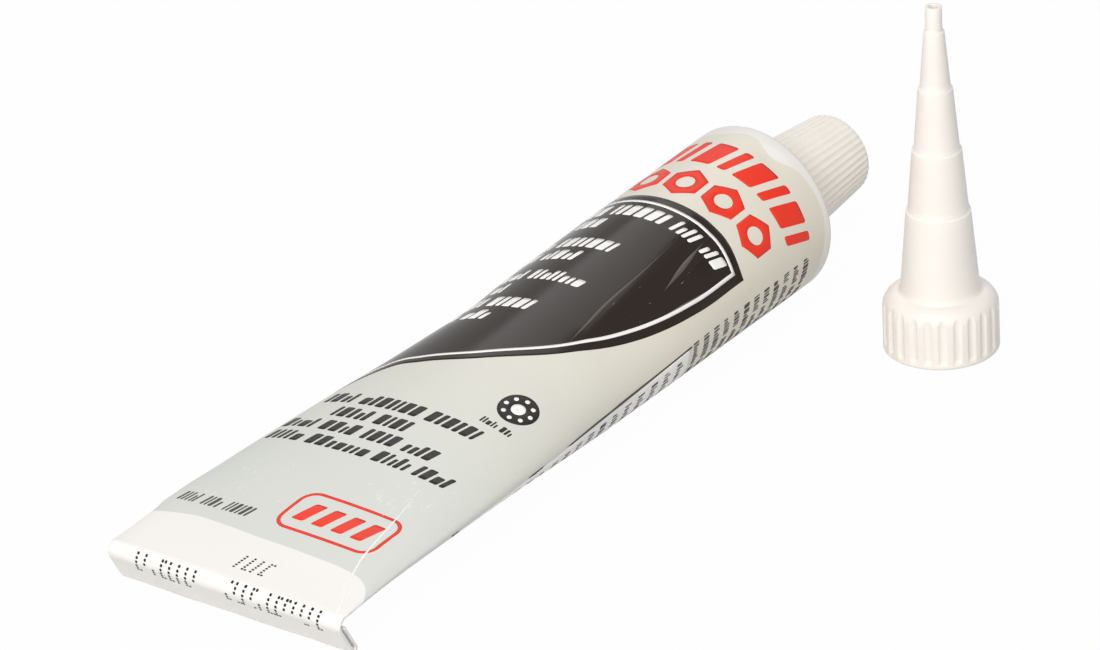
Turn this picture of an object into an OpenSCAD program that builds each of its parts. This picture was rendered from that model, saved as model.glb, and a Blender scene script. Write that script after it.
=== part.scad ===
// Collapsible metal tube of sealant, lying on its belly, with its screw cap on
// and its stepped applicator nozzle standing beside it.
// Millimetres. +X runs from the folded tail to the cap, +Z is up and the floor is Z = 0.

/* [Tube] */
// Diameter of the round tube at its head
tube_d = 28; // [24:0.5:34]
// Length from the bend at the tail to the edge of the shoulder
tube_len = 132; // [110:1:160]
// Upward tilt of the head's axis, in degrees
head_tilt = 3.7; // [2:0.1:5]
// Length of the stretch at the head that stays round
head_cyl = 3.5; // [2:0.5:6]
// Radius of the rolled edge between the wall and the shoulder
shoulder_edge_r = 1.2; // [0.6:0.1:2]
// Slope of the conical shoulder, in degrees
shoulder_angle = 24; // [15:1:35]
// Distance from the tail bend to where the belly meets the floor
belly_x = 76; // [60:1:90]

/* [Tail] */
// Width of the flattened tail
tail_w = 43.9; // [40:0.1:50]
// Thickness of the flattened tail where it bends
tail_t = 1; // [0.6:0.1:1.6]
// Height of the flattened tail above the floor
tail_lift = 6.5; // [5.5:0.1:9]
// Lean of the folded strip away from upright, in degrees
fold_lean = 31; // [15:1:40]
// Thickness of each leaf of the folded strip
leaf_t = 0.7; // [0.5:0.05:1]
// Clear distance between the two leaves
leaf_gap = 0.2; // [0.1:0.05:0.4]
// Length of the leaf that is turned back up
inner_leaf_len = 4.6; // [3:0.1:5]

/* [Neck] */
// Outer diameter of the neck over its thread
neck_d = 11; // [9:0.5:13]
// Length of the neck above the shoulder
neck_len = 9; // [6:0.5:11]
// Diameter of the mouth
mouth_d = 7; // [5:0.5:8]
// Depth of the sealing skin below the lip of the mouth
mouth_depth = 0.8; // [0.4:0.1:2]

/* [Screw cap] */
// Diameter of the cap at its open end, over the core of the ribs
cap_base_d = 16.2; // [15:0.1:18]
// Diameter of the cap at its closed end, over the core of the ribs
cap_end_d = 12.9; // [12:0.1:15]
// Length of the cap
cap_len = 17; // [14:0.1:22]
// Width of the flat rim at the cap's open end
cap_rim_w = 0.8; // [0.5:0.1:1.4]
// Radius of the rounded edge at the closed end
cap_edge_r = 0.5; // [0.3:0.1:1.4]
// Number of grip ribs
cap_ribs = 42; // [24:1:60]
// Radius of each grip rib
cap_rib_r = 0.34; // [0.2:0.02:0.4]
// Radial play between the neck's thread and the cap's bore
cap_play = 0.15; // [0.1:0.05:0.3]
// Clear distance from the shoulder to the cap's open end, measured along the axis
cap_seat_gap = 0.3; // [0.2:0.1:0.8]

/* [Nozzle] */
// Distance of the nozzle from the tail bend, along the tube
nozzle_x = 131.2; // [100:0.1:160]
// Sideways distance of the nozzle from the tube's centre line
nozzle_y = -34.6; // [-50:0.1:-32]
// Height of the nozzle
nozzle_h = 57; // [54:0.5:70]
// Diameter of the gripped collar
collar_d = 17.9; // [16:0.1:20]
// Height of the collar's upright wall
collar_h = 7; // [5:0.5:9]
// Radius of the collar's rounded shoulder
collar_edge_r = 2.6; // [1:0.1:3]
// Number of flutes round the collar
flutes = 24; // [12:1:30]
// Depth of each flute
flute_depth = 0.35; // [0.2:0.05:0.6]
// Radius of the cutter that shapes each flute
flute_r = 0.85; // [0.6:0.05:1]
// Diameter of the cone where it leaves the collar
cone_d = 12.2; // [11.6:0.1:14]
// Height of the cone's lowest step above the floor
first_step_z = 23.1; // [19:0.1:26]
// Height from each step to the next
step_h = 10.2; // [8:0.1:11]
// Height of the cone's foot above the floor
cone_z = 10.2; // [9.4:0.1:13]
// Amount by which the radius drops at each step
step_in = 0.28; // [0.1:0.02:0.5]
// Diameter of the cylindrical tip
tip_d = 2.6; // [2.2:0.1:3.2]
// Length of the cylindrical tip
tip_len = 4; // [2:0.5:8]
// Diameter of the outlet
outlet_d = 1.4; // [0.8:0.1:1.6]
// Depth of the threaded socket that screws onto the neck
socket_depth = 9.4; // [9.2:0.1:11]
// Radial play between the neck's thread and the socket
socket_play = 0.15; // [0.1:0.05:0.3]

/* [Hidden] */

tube_r = tube_d / 2;
neck_r = neck_d / 2;
collar_r = collar_d / 2;

// Facets of the exact round parts, and of the lofted wall
round_fn = 96;
ring_points = 64;
stations = 40;

// The lofted wall ends inside the round head, a hair below its surface
wall_lap = 0.5;
wall_step = 0.04;
// Shape of the lines along the wall: top line, belly line and side line
top_ease = 0.956;
belly_ease = 1.65;
side_ease = 1.6;
// The section is a flat slit with blunt sides at the bend, blunt-sided near it, and round
// once it has grown to its full height
slit_power = 0.4;
blunt_power = 0.75;
slit_end_x = 6;
blunt_start_x = 10;
blunt_end_x = 50;

// The head stands on the lower edge of its round stretch
head_z = tube_r * cos(head_tilt) + head_cyl * sin(head_tilt);
wall_end = tube_len - (head_cyl - wall_lap) * cos(head_tilt);
wall_end_z = head_z - (head_cyl - wall_lap) * sin(head_tilt);
wall_end_r = tube_r - wall_step;

// Folded strip: two leaves and the nose that turns one into the other
fold_r = leaf_t + leaf_gap / 2;
leaf_shift = (leaf_t + leaf_gap) / 2;
outer_leaf_len = (tail_lift + leaf_shift * sin(fold_lean) - fold_r) / cos(fold_lean);

// Shoulder, neck and cap, measured along the head's axis from the shoulder's edge
shoulder_r = tube_r - shoulder_edge_r * (1 - sin(shoulder_angle));
shoulder_z = -shoulder_edge_r * (1 - cos(shoulder_angle));
function on_shoulder(r) = shoulder_z + (shoulder_r - r) * tan(shoulder_angle);
neck_z = on_shoulder(neck_r);
cap_base_r = cap_base_d / 2;
cap_end_r = cap_end_d / 2;
cap_seat_r = cap_base_r - cap_rim_w;
cap_z = on_shoulder(cap_seat_r) + cap_seat_gap;
cap_taper = atan((cap_base_r - cap_end_r) / cap_len);
cap_bore_r = neck_r + cap_play;
cap_bore_depth = neck_z + neck_len - cap_z + 0.5;

// Nozzle cone: four stretches, each one step narrower than the one below
step_count = 4;
cone_top = nozzle_h - tip_len;
cone_foot_r = cone_d / 2;
cone_top_r = tip_d / 2 + step_in;
cone_slope = (cone_foot_r - cone_top_r - (step_count - 1) * step_in) / (cone_top - cone_z);
outlet_r = outlet_d / 2;
socket_r = neck_r + socket_play;
nozzle_wall = 1.1;

// The origin is below the middle of everything, on the floor
cap_end_x = tube_len + (cap_z + cap_len) * cos(head_tilt) + (cap_end_r - cap_edge_r) * sin(head_tilt);
cap_side_x = tube_len + (cap_z + cap_len - cap_edge_r) * cos(head_tilt) + cap_end_r * sin(head_tilt);
front_x = max(cap_end_x, cap_side_x, nozzle_x + collar_r);
back_x = -tail_t / 2 - wall_step;
left_y = max(tail_w / 2, tube_r);
right_y = min(nozzle_y - collar_r, -left_y);
origin_x = (front_x + back_x) / 2;
origin_y = (left_y + right_y) / 2;

// Places a child in the row's frame, or on the head's axis
module in_row() {
    translate([-origin_x, -origin_y, 0]) children();
}

module on_head() {
    in_row() translate([tube_len, 0, head_z]) rotate([0, 90 - head_tilt, 0]) children();
}

// Rises from 0 to 1 with level ends
function eased(u) = u * u * (3 - 2 * u);

// Heights of the top and belly lines at a share t of the wall's length
function top_z(t) = let (low = tail_lift + tail_t / 2, high = wall_end_z + wall_end_r)
    low + (high - low) * pow(t, top_ease);
function belly_z(t) = let (low = wall_end_z - wall_end_r, high = tail_lift - tail_t / 2)
    high + (low - high) * eased(pow(min(1, t * wall_end / belly_x), belly_ease));

// Half width of a section of the given half height: the wall's girth hardly changes
function half_w(h) = tube_r + (tail_w / 2 - tube_r) * (1 - pow(min(1, h / wall_end_r), side_ease))
    - wall_step;

// Share of the way from one x to another, with level ends
function passed(x, from, to) = eased(max(0, min(1, (x - from) / (to - from))));

// Power that shapes the section's sides at distance x from the bend: 1 is an oval
function side_power(x) = slit_power
    + (blunt_power - slit_power) * passed(x, 0, slit_end_x)
    + (1 - blunt_power) * passed(x, blunt_start_x, blunt_end_x);

// One section of the wall, leaning with the head's axis
function section(t) = let (
        h = (top_z(t) - belly_z(t)) / 2,
        mid = (top_z(t) + belly_z(t)) / 2,
        w = half_w(h),
        power = side_power(t * wall_end),
        lean = head_tilt * t
    ) [for (i = [0 : ring_points - 1])
        let (a = 360 * i / ring_points, rise = h * sign(sin(a)) * pow(abs(sin(a)), power))
        [t * wall_end - rise * sin(lean), w * cos(a), mid + rise * cos(lean)]];

function ring_quads(k) = [for (i = [0 : ring_points - 1])
    let (j = (i + 1) % ring_points)
    [k * ring_points + i, (k + 1) * ring_points + i, (k + 1) * ring_points + j, k * ring_points + j]];

// Wall of the tube, lofted from the flat tail to the round head
module wall() {
    points = [for (k = [0 : stations]) each section(k / stations)];
    tail_cap = [for (i = [0 : ring_points - 1]) i];
    head_cap = [for (i = [0 : ring_points - 1]) (stations + 1) * ring_points - 1 - i];
    sides = [for (k = [0 : stations - 1]) each ring_quads(k)];
    polyhedron(points, concat([tail_cap], sides, [head_cap]));
}

// A leaf of the folded strip, shifted off the bend and reaching down along its lean
module leaf(shift, from, to) {
    rotate([0, -fold_lean, 0])
        translate([shift - leaf_t / 2, -tail_w / 2, -to])
            cube([leaf_t, tail_w, to - from]);
}

module rod_across(r, x, z) {
    translate([x, 0, z]) rotate([90, 0, 0])
        cylinder(r = r, h = tail_w, center = true, $fn = 32);
}

// Tail folded down over itself: bend, outer leaf, hairpin nose and inner leaf
module folded_strip() {
    nose_x = outer_leaf_len * sin(fold_lean) + leaf_shift * cos(fold_lean);
    nose_z = -outer_leaf_len * cos(fold_lean) + leaf_shift * sin(fold_lean);
    translate([0, 0, tail_lift]) {
        rod_across(tail_t / 2 + wall_step, 0, 0);
        leaf(0, 0, outer_leaf_len);
        leaf(2 * leaf_shift, outer_leaf_len - inner_leaf_len, outer_leaf_len);
        rod_across(fold_r, nose_x, nose_z);
    }
}

// Round end of the wall, rolled edge, conical shoulder, neck and sealed mouth
module head() {
    rotate_extrude($fn = round_fn) {
        polygon([
            [0, -head_cyl], [tube_r, -head_cyl], [tube_r, -shoulder_edge_r],
            for (a = [15 : 15 : 90 - shoulder_angle - 1])
                [tube_r - shoulder_edge_r * (1 - cos(a)), -shoulder_edge_r * (1 - sin(a))],
            [shoulder_r, shoulder_z], [neck_r, neck_z],
            [neck_r, neck_z + neck_len], [mouth_d / 2, neck_z + neck_len],
            [mouth_d / 2, neck_z + neck_len - mouth_depth], [0, neck_z + neck_len - mouth_depth]
        ]);
    }
}

module tube_body() {
    color([0.85, 0.87, 0.85]) {
        in_row() {
            wall();
            folded_strip();
        }
        on_head() head();
    }
}

// One grip rib, lying on the cap's slope
module cap_rib() {
    translate([cap_base_r, 0, cap_z])
        rotate([0, -cap_taper, 0])
            cylinder(r = cap_rib_r, h = (cap_len - cap_edge_r) / cos(cap_taper), $fn = 16);
}

module screw_cap() {
    color([0.91, 0.88, 0.84]) on_head() difference() {
        union() {
            rotate_extrude($fn = round_fn) {
                polygon([
                    [0, cap_z], [cap_base_r, cap_z],
                    [cap_end_r + cap_edge_r * tan(cap_taper), cap_z + cap_len - cap_edge_r],
                    for (a = [15 : 15 : 90])
                        [cap_end_r - cap_edge_r * (1 - cos(a)),
                         cap_z + cap_len - cap_edge_r * (1 - sin(a))],
                    [0, cap_z + cap_len]
                ]);
            }
            for (i = [0 : cap_ribs - 1]) rotate([0, 0, 360 * i / cap_ribs]) cap_rib();
        }
        translate([0, 0, cap_z]) cylinder(r = cap_bore_r, h = cap_bore_depth, $fn = round_fn);
        // The open end is dished to clear the shoulder
        rotate_extrude($fn = round_fn) {
            polygon([
                [0, cap_z - 1], [cap_seat_r, cap_z - 1], [cap_seat_r, cap_z],
                [cap_bore_r, on_shoulder(cap_bore_r) + cap_seat_gap],
                [0, on_shoulder(cap_bore_r) + cap_seat_gap]
            ]);
        }
    }
}

// Radius of the cone's outside at height z, counting the steps passed
function cone_r(z, steps) = cone_foot_r - cone_slope * (z - cone_z) - step_in * steps;

// Height at which step k ends
function step_z(k) = k == step_count ? cone_top : first_step_z + (k - 1) * step_h;

// Outline of the nozzle: collar, rounded shoulder, stepped cone and tip
function nozzle_profile() = concat(
    [[0, 0], [collar_r - 0.4, 0], [collar_r, 0.4], [collar_r, collar_h]],
    [for (a = [15 : 15 : 75])
        [collar_r - collar_edge_r * (1 - cos(a)), collar_h + collar_edge_r * sin(a)]],
    [[collar_r - collar_edge_r, collar_h + collar_edge_r], [cone_foot_r, cone_z]],
    [for (k = [1 : step_count]) each
        [[cone_r(step_z(k), k - 1), step_z(k)], [cone_r(step_z(k), k), step_z(k)]]],
    [[tip_d / 2, nozzle_h], [0, nozzle_h]]
);

module flute() {
    translate([collar_r + flute_r - flute_depth, 0, 1])
        cylinder(r = flute_r, h = collar_h + collar_edge_r, $fn = 24);
}

// Socket for the neck, tapering channel and outlet
module nozzle_channel() {
    channel_r = cone_foot_r - 2 * nozzle_wall;
    translate([0, 0, -1]) cylinder(r = socket_r, h = socket_depth + 1, $fn = round_fn);
    translate([0, 0, socket_depth - 0.01])
        cylinder(r1 = channel_r, r2 = outlet_r, h = cone_top - socket_depth, $fn = round_fn);
    translate([0, 0, cone_top - 0.02]) cylinder(r = outlet_r, h = tip_len + 1, $fn = 48);
}

module nozzle() {
    color([0.97, 0.94, 0.90]) in_row() translate([nozzle_x, nozzle_y, 0]) difference() {
        rotate_extrude($fn = round_fn) polygon(nozzle_profile());
        for (i = [0 : flutes - 1]) rotate([0, 0, 360 * i / flutes]) flute();
        nozzle_channel();
    }
}

tube_body();
screw_cap();
nozzle();
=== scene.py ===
import bpy
import numpy as np
from mathutils import Matrix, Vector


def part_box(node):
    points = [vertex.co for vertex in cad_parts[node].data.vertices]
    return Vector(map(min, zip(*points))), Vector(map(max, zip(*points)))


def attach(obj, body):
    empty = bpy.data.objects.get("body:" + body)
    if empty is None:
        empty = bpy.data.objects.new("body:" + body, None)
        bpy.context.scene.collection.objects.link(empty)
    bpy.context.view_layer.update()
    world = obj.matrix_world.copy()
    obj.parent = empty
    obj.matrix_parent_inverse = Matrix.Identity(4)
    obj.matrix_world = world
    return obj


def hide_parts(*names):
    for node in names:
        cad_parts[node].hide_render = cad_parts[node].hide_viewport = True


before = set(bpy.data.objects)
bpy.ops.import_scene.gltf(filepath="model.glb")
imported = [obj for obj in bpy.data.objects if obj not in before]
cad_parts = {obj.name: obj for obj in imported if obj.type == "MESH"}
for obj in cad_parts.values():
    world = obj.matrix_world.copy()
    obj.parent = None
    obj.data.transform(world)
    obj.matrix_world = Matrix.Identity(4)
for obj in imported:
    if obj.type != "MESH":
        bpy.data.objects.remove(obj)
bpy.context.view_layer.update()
tubeLow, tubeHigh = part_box("tube_body")
nozzleLow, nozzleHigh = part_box("nozzle")
print("frame loaded:", ", ".join(sorted(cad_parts)))

mm = 0.001
rng = np.random.default_rng(40)

tube = dict(
    radius=14.0, length=132.0, headTilt=3.7, headRound=3.5, lastStation=3.0,
    rollEdge=1.2, shoulderSlope=24.0, bellyTouch=76.0,
    tailWidth=43.9, tailThick=1.0, tailLift=6.5, tailReach=0.54, bendRadius=1.2,
    foldLean=31.0, leafThick=0.6, leafGap=0.12, endLeaf=0.62, endGap=0.24, innerLeaf=4.6, stripWave=0.07,
    topEase=0.956, bellyEase=1.65, sideEase=1.6,
    neckRadius=5.5, neckLength=9.0, threadDepth=0.6, threadPitch=2.1,
    mouthRadius=3.5, mouthDepth=0.8, columns=208,
)
tilt = np.radians(tube["headTilt"])
headZ = tube["radius"] * np.cos(tilt) + tube["headRound"] * np.sin(tilt)
wallEndX = tube["length"] - tube["lastStation"] * np.cos(tilt)
wallEndZ = headZ - tube["lastStation"] * np.sin(tilt)
halfGirth = np.pi * tube["radius"]
bendTangent = tube["bendRadius"] * np.tan(np.pi / 4 + np.radians(tube["foldLean"]) / 2)
wallStart = 0.24 - tube["tailReach"] + bendTangent
tailPlace = np.array([tubeLow.x + tube["tailReach"] * mm, (tubeLow.y + tubeHigh.y) / 2, 0])


def smooth(low, high, x):
    # 0 below low and 1 above high, with level ends between them
    u = np.clip((x - low) / (high - low), 0, 1)
    return u * u * (3 - 2 * u)


def bell(x, centre, reach):
    # 1 at the centre, falling away on both sides
    return np.exp(-((x - centre) / reach) ** 2)


# Meshes

def gridQuads(rows, columns, closed=False):
    # Quads between the points of a grid, row after row; closed joins the last column to the first
    r = np.arange(rows - 1)[:, None] * columns
    c = np.arange(columns if closed else columns - 1)[None, :]
    n = (c + 1) % columns
    return np.stack([r + c, r + n, r + columns + n, r + columns + c], -1).reshape(-1, 4)


def makePiece(name, points, quads, triangles=(), uv=None, material=None, body="tube", bare=None):
    # Points are already in metres in the row's frame; uv holds one pair for each corner of the quads,
    # and bare one value for each point
    mesh = bpy.data.meshes.new(name)
    mesh.from_pydata(points.reshape(-1, 3).tolist(), [], quads.tolist() + [list(t) for t in triangles])
    mesh.polygons.foreach_set("use_smooth", np.ones(len(mesh.polygons), bool))
    if uv is not None:
        layer = mesh.uv_layers.new(name="zones")
        flat = np.repeat(uv[-1:], len(mesh.loops), 0)
        flat[:len(uv)] = uv
        layer.uv.foreach_set("vector", flat.ravel())
    if bare is not None:
        mesh.attributes.new("bareMetal", "FLOAT", "POINT").data.foreach_set("value", bare)
    mesh.materials.append(material)
    piece = bpy.data.objects.new(name, mesh)
    bpy.context.scene.collection.objects.link(piece)
    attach(piece, body)
    return piece


# Finishes

def newMaterial(name):
    # Empty node tree with a Principled shader on its output
    material = bpy.data.materials.new(name)
    material.use_nodes = True
    nodes = material.node_tree.nodes
    nodes.clear()
    out = nodes.new("ShaderNodeOutputMaterial")
    shader = nodes.new("ShaderNodeBsdfPrincipled")
    material.node_tree.links.new(shader.outputs[0], out.inputs[0])
    return material, nodes, material.node_tree.links, shader


def linear(code):
    # Linear colour of a six-digit code
    c = np.array([int(code[i:i + 2], 16) / 255 for i in (0, 2, 4)])
    c = np.where(c <= 0.04045, c / 12.92, ((c + 0.055) / 1.055) ** 2.4)
    return (*c, 1.0)


def startGroup(name, inputs, outputs):
    # Node group with named number inputs and named outputs
    group = bpy.data.node_groups.new(name, "ShaderNodeTree")
    for label, value in inputs.items():
        socket = group.interface.new_socket(label, in_out="INPUT", socket_type="NodeSocketFloat")
        socket.default_value = value
    for label, kind in outputs.items():
        group.interface.new_socket(label, in_out="OUTPUT", socket_type=kind)
    return group, group.nodes.new("NodeGroupInput"), group.nodes.new("NodeGroupOutput")


def noiseNode(nodes, links, place, scale, detail=2.0, rough=0.5):
    noise = nodes.new("ShaderNodeTexNoise")
    noise.inputs["Detail"].default_value = detail
    noise.inputs["Roughness"].default_value = rough
    if place is not None:
        links.new(place, noise.inputs["Vector"])
    if isinstance(scale, (int, float)):
        noise.inputs["Scale"].default_value = scale
    else:
        links.new(scale, noise.inputs["Scale"])
    return noise.outputs["Fac"]


def mathNode(nodes, links, operation, *values):
    node = nodes.new("ShaderNodeMath")
    node.operation = operation
    for i, value in enumerate(values):
        if isinstance(value, (int, float)):
            node.inputs[i].default_value = value
        else:
            links.new(value, node.inputs[i])
    return node.outputs[0]


def rampNode(nodes, links, value, fromLow, fromHigh, toLow=0.0, toHigh=1.0):
    node = nodes.new("ShaderNodeMapRange")
    links.new(value, node.inputs["Value"])
    for label, x in zip(("From Min", "From Max", "To Min", "To Max"), (fromLow, fromHigh, toLow, toHigh)):
        if isinstance(x, (int, float)):
            node.inputs[label].default_value = x
        else:
            links.new(x, node.inputs[label])
    return node.outputs["Result"]


def mixColour(nodes, links, share, first, second):
    node = nodes.new("ShaderNodeMix")
    node.data_type = "RGBA"
    for label, value in (("Factor", share), ("A", first), ("B", second)):
        socket = node.inputs[label]
        if isinstance(value, (tuple, int, float)):
            socket.default_value = value
        else:
            links.new(value, socket)
    return node.outputs["Result"]


def makeMottle():
    # Shared group: fine pebble for the bump and a slow drift of tone
    group, start, end = startGroup(
        "surfaceMottle",
        {"Grain Scale": 2500.0, "Drift Scale": 60.0},
        {"Grain": "NodeSocketFloat", "Drift": "NodeSocketFloat"})
    place = group.nodes.new("ShaderNodeTexCoord").outputs["Object"]
    grain = noiseNode(group.nodes, group.links, place, start.outputs["Grain Scale"], 3.0, 0.6)
    drift = noiseNode(group.nodes, group.links, place, start.outputs["Drift Scale"], 4.0, 0.55)
    group.links.new(grain, end.inputs["Grain"])
    group.links.new(drift, end.inputs["Drift"])
    return group


def makeScuffs():
    # Shared group: sparse small rub marks, 0 where clean and 1 in a mark
    group, start, end = startGroup(
        "rubMarks", {"Scale": 260.0, "Rarity": 0.7}, {"Mark": "NodeSocketFloat"})
    nodes, links = group.nodes, group.links
    place = nodes.new("ShaderNodeTexCoord").outputs["Object"]
    stretch = nodes.new("ShaderNodeMapping")
    stretch.inputs["Scale"].default_value = (0.35, 1.0, 1.0)
    stretch.inputs["Rotation"].default_value = (0.0, 0.0, 0.35)
    links.new(place, stretch.inputs["Vector"])
    fine = noiseNode(nodes, links, stretch.outputs[0], start.outputs["Scale"], 3.0, 0.7)
    patch = noiseNode(nodes, links, place, 55.0, 1.0, 0.5)
    both = mathNode(nodes, links, "MULTIPLY_ADD", patch, 0.45, fine)
    edge = mathNode(nodes, links, "ADD", start.outputs["Rarity"], 0.05)
    full = mathNode(nodes, links, "ADD", edge, 0.06)
    links.new(rampNode(nodes, links, both, edge, full), end.inputs["Mark"])
    return group


mottleGroup = makeMottle()
scuffGroup = makeScuffs()


def placeGroup(nodes, group, **values):
    # Puts a shared group into a material, with this material's own values
    node = nodes.new("ShaderNodeGroup")
    node.node_tree = group
    for label, value in values.items():
        node.inputs[label.replace("_", " ")].default_value = value
    return node


def drifting(nodes, links, colour, mottle, low, high):
    # Colour made darker and lighter by the slow drift, between the low and the high factor
    node = nodes.new("ShaderNodeVectorMath")
    node.operation = "SCALE"
    links.new(colour, node.inputs[0])
    links.new(rampNode(nodes, links, mottle.outputs["Drift"], 0.3, 0.7, low, high), node.inputs["Scale"])
    return node.outputs[0]


def bumpOn(nodes, links, shader, height, strength, distance):
    bump = nodes.new("ShaderNodeBump")
    bump.inputs["Strength"].default_value = strength
    bump.inputs["Distance"].default_value = distance
    links.new(height, bump.inputs["Height"])
    links.new(bump.outputs[0], shader.inputs["Normal"])


enamel = dict(
    lacquer="D6D8D1", lacquerWarm="E4DED0", margin="F2EFEA", band="EDEAE5", bare="D9D8D6", rub="F1F0EC",
    warmFrom=30.0, warmTo=90.0, inkEdge=0.1, rough=0.4, bareRough=0.34,
    # Edges of the lacquer as round and along pairs: against the pale tail, and against the pale band
    marginLine=[(-44.0, 11.2), (-22.0, 10.2), (-19.9, 10.5), (-16.4, 11.0), (-13.3, 11.4), (-7.0, 11.1),
                (-1.9, 10.8), (4.0, 10.7), (13.4, 10.5), (16.7, 10.1), (18.4, 9.7), (19.9, 8.8),
                (21.4, 7.2), (21.9, 5.6), (22.6, 4.9), (24.5, 6.6), (30.0, 10.0), (44.0, 11.2)],
    bandLine=[(-44.0, 129.2), (-12.0, 128.4), (-3.3, 128.1), (0.3, 129.2), (2.6, 129.2), (5.0, 128.0),
              (6.6, 127.6), (8.2, 128.0), (10.5, 129.2), (13.4, 129.7), (19.0, 130.0), (22.7, 129.5),
              (26.2, 129.0), (44.0, 129.2)],
)


def lineAt(pairs, v):
    # Place along the tube of a line given as round and along pairs, with rounded corners
    fine = np.linspace(-halfGirth, halfGirth, 881)
    line = np.interp(fine, [q[0] for q in pairs], [q[1] for q in pairs])
    kernel = np.exp(-(np.arange(-12, 13) / 6.0) ** 2)
    wide = np.convolve(np.pad(line, 12, mode="edge"), kernel / kernel.sum(), "valid")
    return np.interp(v, fine, wide)


def tubeEnamel():
    # The zones map holds millimetres past the tail's edge of the lacquer, and past its edge at the head
    v = enamel
    material, nodes, links, shader = newMaterial("tubeEnamel")
    zones = nodes.new("ShaderNodeUVMap")
    zones.uv_map = "zones"
    split = nodes.new("ShaderNodeSeparateXYZ")
    links.new(zones.outputs[0], split.inputs[0])
    metal = nodes.new("ShaderNodeAttribute")
    metal.attribute_name = "bareMetal"
    bare = metal.outputs["Fac"]
    mottle = placeGroup(nodes, mottleGroup, Grain_Scale=1900.0, Drift_Scale=45.0)
    wobble = mathNode(nodes, links, "MULTIPLY_ADD", mottle.outputs["Drift"], 0.3, -0.15)

    past = [mathNode(nodes, links, "ADD", split.outputs[i], wobble) for i in (0, 1)]
    pastMargin = rampNode(nodes, links, past[0], 0.0, v["inkEdge"])
    pastBand = rampNode(nodes, links, past[1], 0.0, v["inkEdge"] * 2)
    warmer = rampNode(nodes, links, split.outputs[0], v["warmFrom"] - 11.0, v["warmTo"] - 11.0)
    lacquer = mixColour(nodes, links, warmer, linear(v["lacquer"]), linear(v["lacquerWarm"]))
    scuffs = placeGroup(nodes, scuffGroup, Scale=1500.0, Rarity=0.86)
    rubbed = mathNode(nodes, links, "MULTIPLY", scuffs.outputs["Mark"], 0.5)
    lacquer = mixColour(nodes, links, rubbed, lacquer, linear(v["rub"]))
    colour = mixColour(nodes, links, pastMargin, linear(v["margin"]), lacquer)
    colour = mixColour(nodes, links, pastBand, colour, linear(v["band"]))
    colour = mixColour(nodes, links, bare, colour, linear(v["bare"]))
    links.new(drifting(nodes, links, colour, mottle, 0.975, 1.02), shader.inputs["Base Color"])

    rough = rampNode(nodes, links, mottle.outputs["Drift"], 0.3, 0.7, v["rough"] - 0.04, v["rough"] + 0.05)
    rough = mathNode(nodes, links, "MULTIPLY_ADD", scuffs.outputs["Mark"], 0.12, rough)
    rough = mathNode(nodes, links, "MULTIPLY_ADD", bare, v["bareRough"] - v["rough"], rough)
    links.new(rough, shader.inputs["Roughness"])
    links.new(bare, shader.inputs["Metallic"])
    shader.inputs["Specular IOR Level"].default_value = 0.32
    bumpOn(nodes, links, shader, mottle.outputs["Grain"], 0.06, 0.00008)
    return material


def printInk(name, colour, rough, worn="D8D6D0", wear=0.4, gloss=0.18):
    # Ink film: slightly uneven tone, with pale specks where it is rubbed
    material, nodes, links, shader = newMaterial(name)
    mottle = placeGroup(nodes, mottleGroup, Grain_Scale=2600.0, Drift_Scale=80.0)
    scuffs = placeGroup(nodes, scuffGroup, Scale=2400.0, Rarity=0.89)
    rubbed = mathNode(nodes, links, "MULTIPLY", scuffs.outputs["Mark"], wear)
    base = mixColour(nodes, links, rubbed, linear(colour), linear(worn))
    links.new(drifting(nodes, links, base, mottle, 0.95, 1.05), shader.inputs["Base Color"])
    spread = rampNode(nodes, links, mottle.outputs["Drift"], 0.3, 0.7, rough - 0.03, rough + 0.05)
    links.new(spread, shader.inputs["Roughness"])
    shader.inputs["Specular IOR Level"].default_value = gloss
    bumpOn(nodes, links, shader, mottle.outputs["Grain"], 0.05, 0.00006)
    return material


def mouldedPlastic(name, colour, shade, rough):
    # Soft moulded plastic: fine pebble, slow tone drift and a few rub marks
    material, nodes, links, shader = newMaterial(name)
    mottle = placeGroup(nodes, mottleGroup, Grain_Scale=1500.0, Drift_Scale=110.0)
    scuffs = placeGroup(nodes, scuffGroup, Scale=350.0, Rarity=0.76)
    share = rampNode(nodes, links, mottle.outputs["Drift"], 0.35, 0.7)
    base = mixColour(nodes, links, share, linear(colour), linear(shade))
    links.new(base, shader.inputs["Base Color"])
    spread = rampNode(nodes, links, mottle.outputs["Drift"], 0.3, 0.7, rough - 0.05, rough + 0.05)
    spread = mathNode(nodes, links, "MULTIPLY_ADD", scuffs.outputs["Mark"], -0.06, spread)
    links.new(spread, shader.inputs["Roughness"])
    bumpOn(nodes, links, shader, mottle.outputs["Grain"], 0.12, 0.0001)
    return material


tubeFinish = tubeEnamel()
blackInk = printInk("blackInk", "241811", 0.15, worn="9A958E", wear=0.5)
darkInk = printInk("darkInk", "2B2724", 0.4)
greyInk = printInk("greyInk", "4A4744", 0.45)
redInk = printInk("redInk", "EE3A26", 0.38, worn="F3B3A6", wear=0.3)
whiteInk = printInk("whiteInk", "FAF8F4", 0.38)
creaseInk = printInk("creaseInk", "FDFCF9", 0.45, gloss=0.35)
# Ink for painted highlights: pale strokes along the folds on the dark panel
paintedSheenInk = printInk("paintedSheenInk", "5C554E", 0.3)
capPlastic = mouldedPlastic("capPlastic", "FAF4EA", "F6EFE4", 0.46)
nozzlePlastic = mouldedPlastic("nozzlePlastic", "F5EFE7", "F2EBE3", 0.42)
print("finishes made")


# Tube

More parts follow.
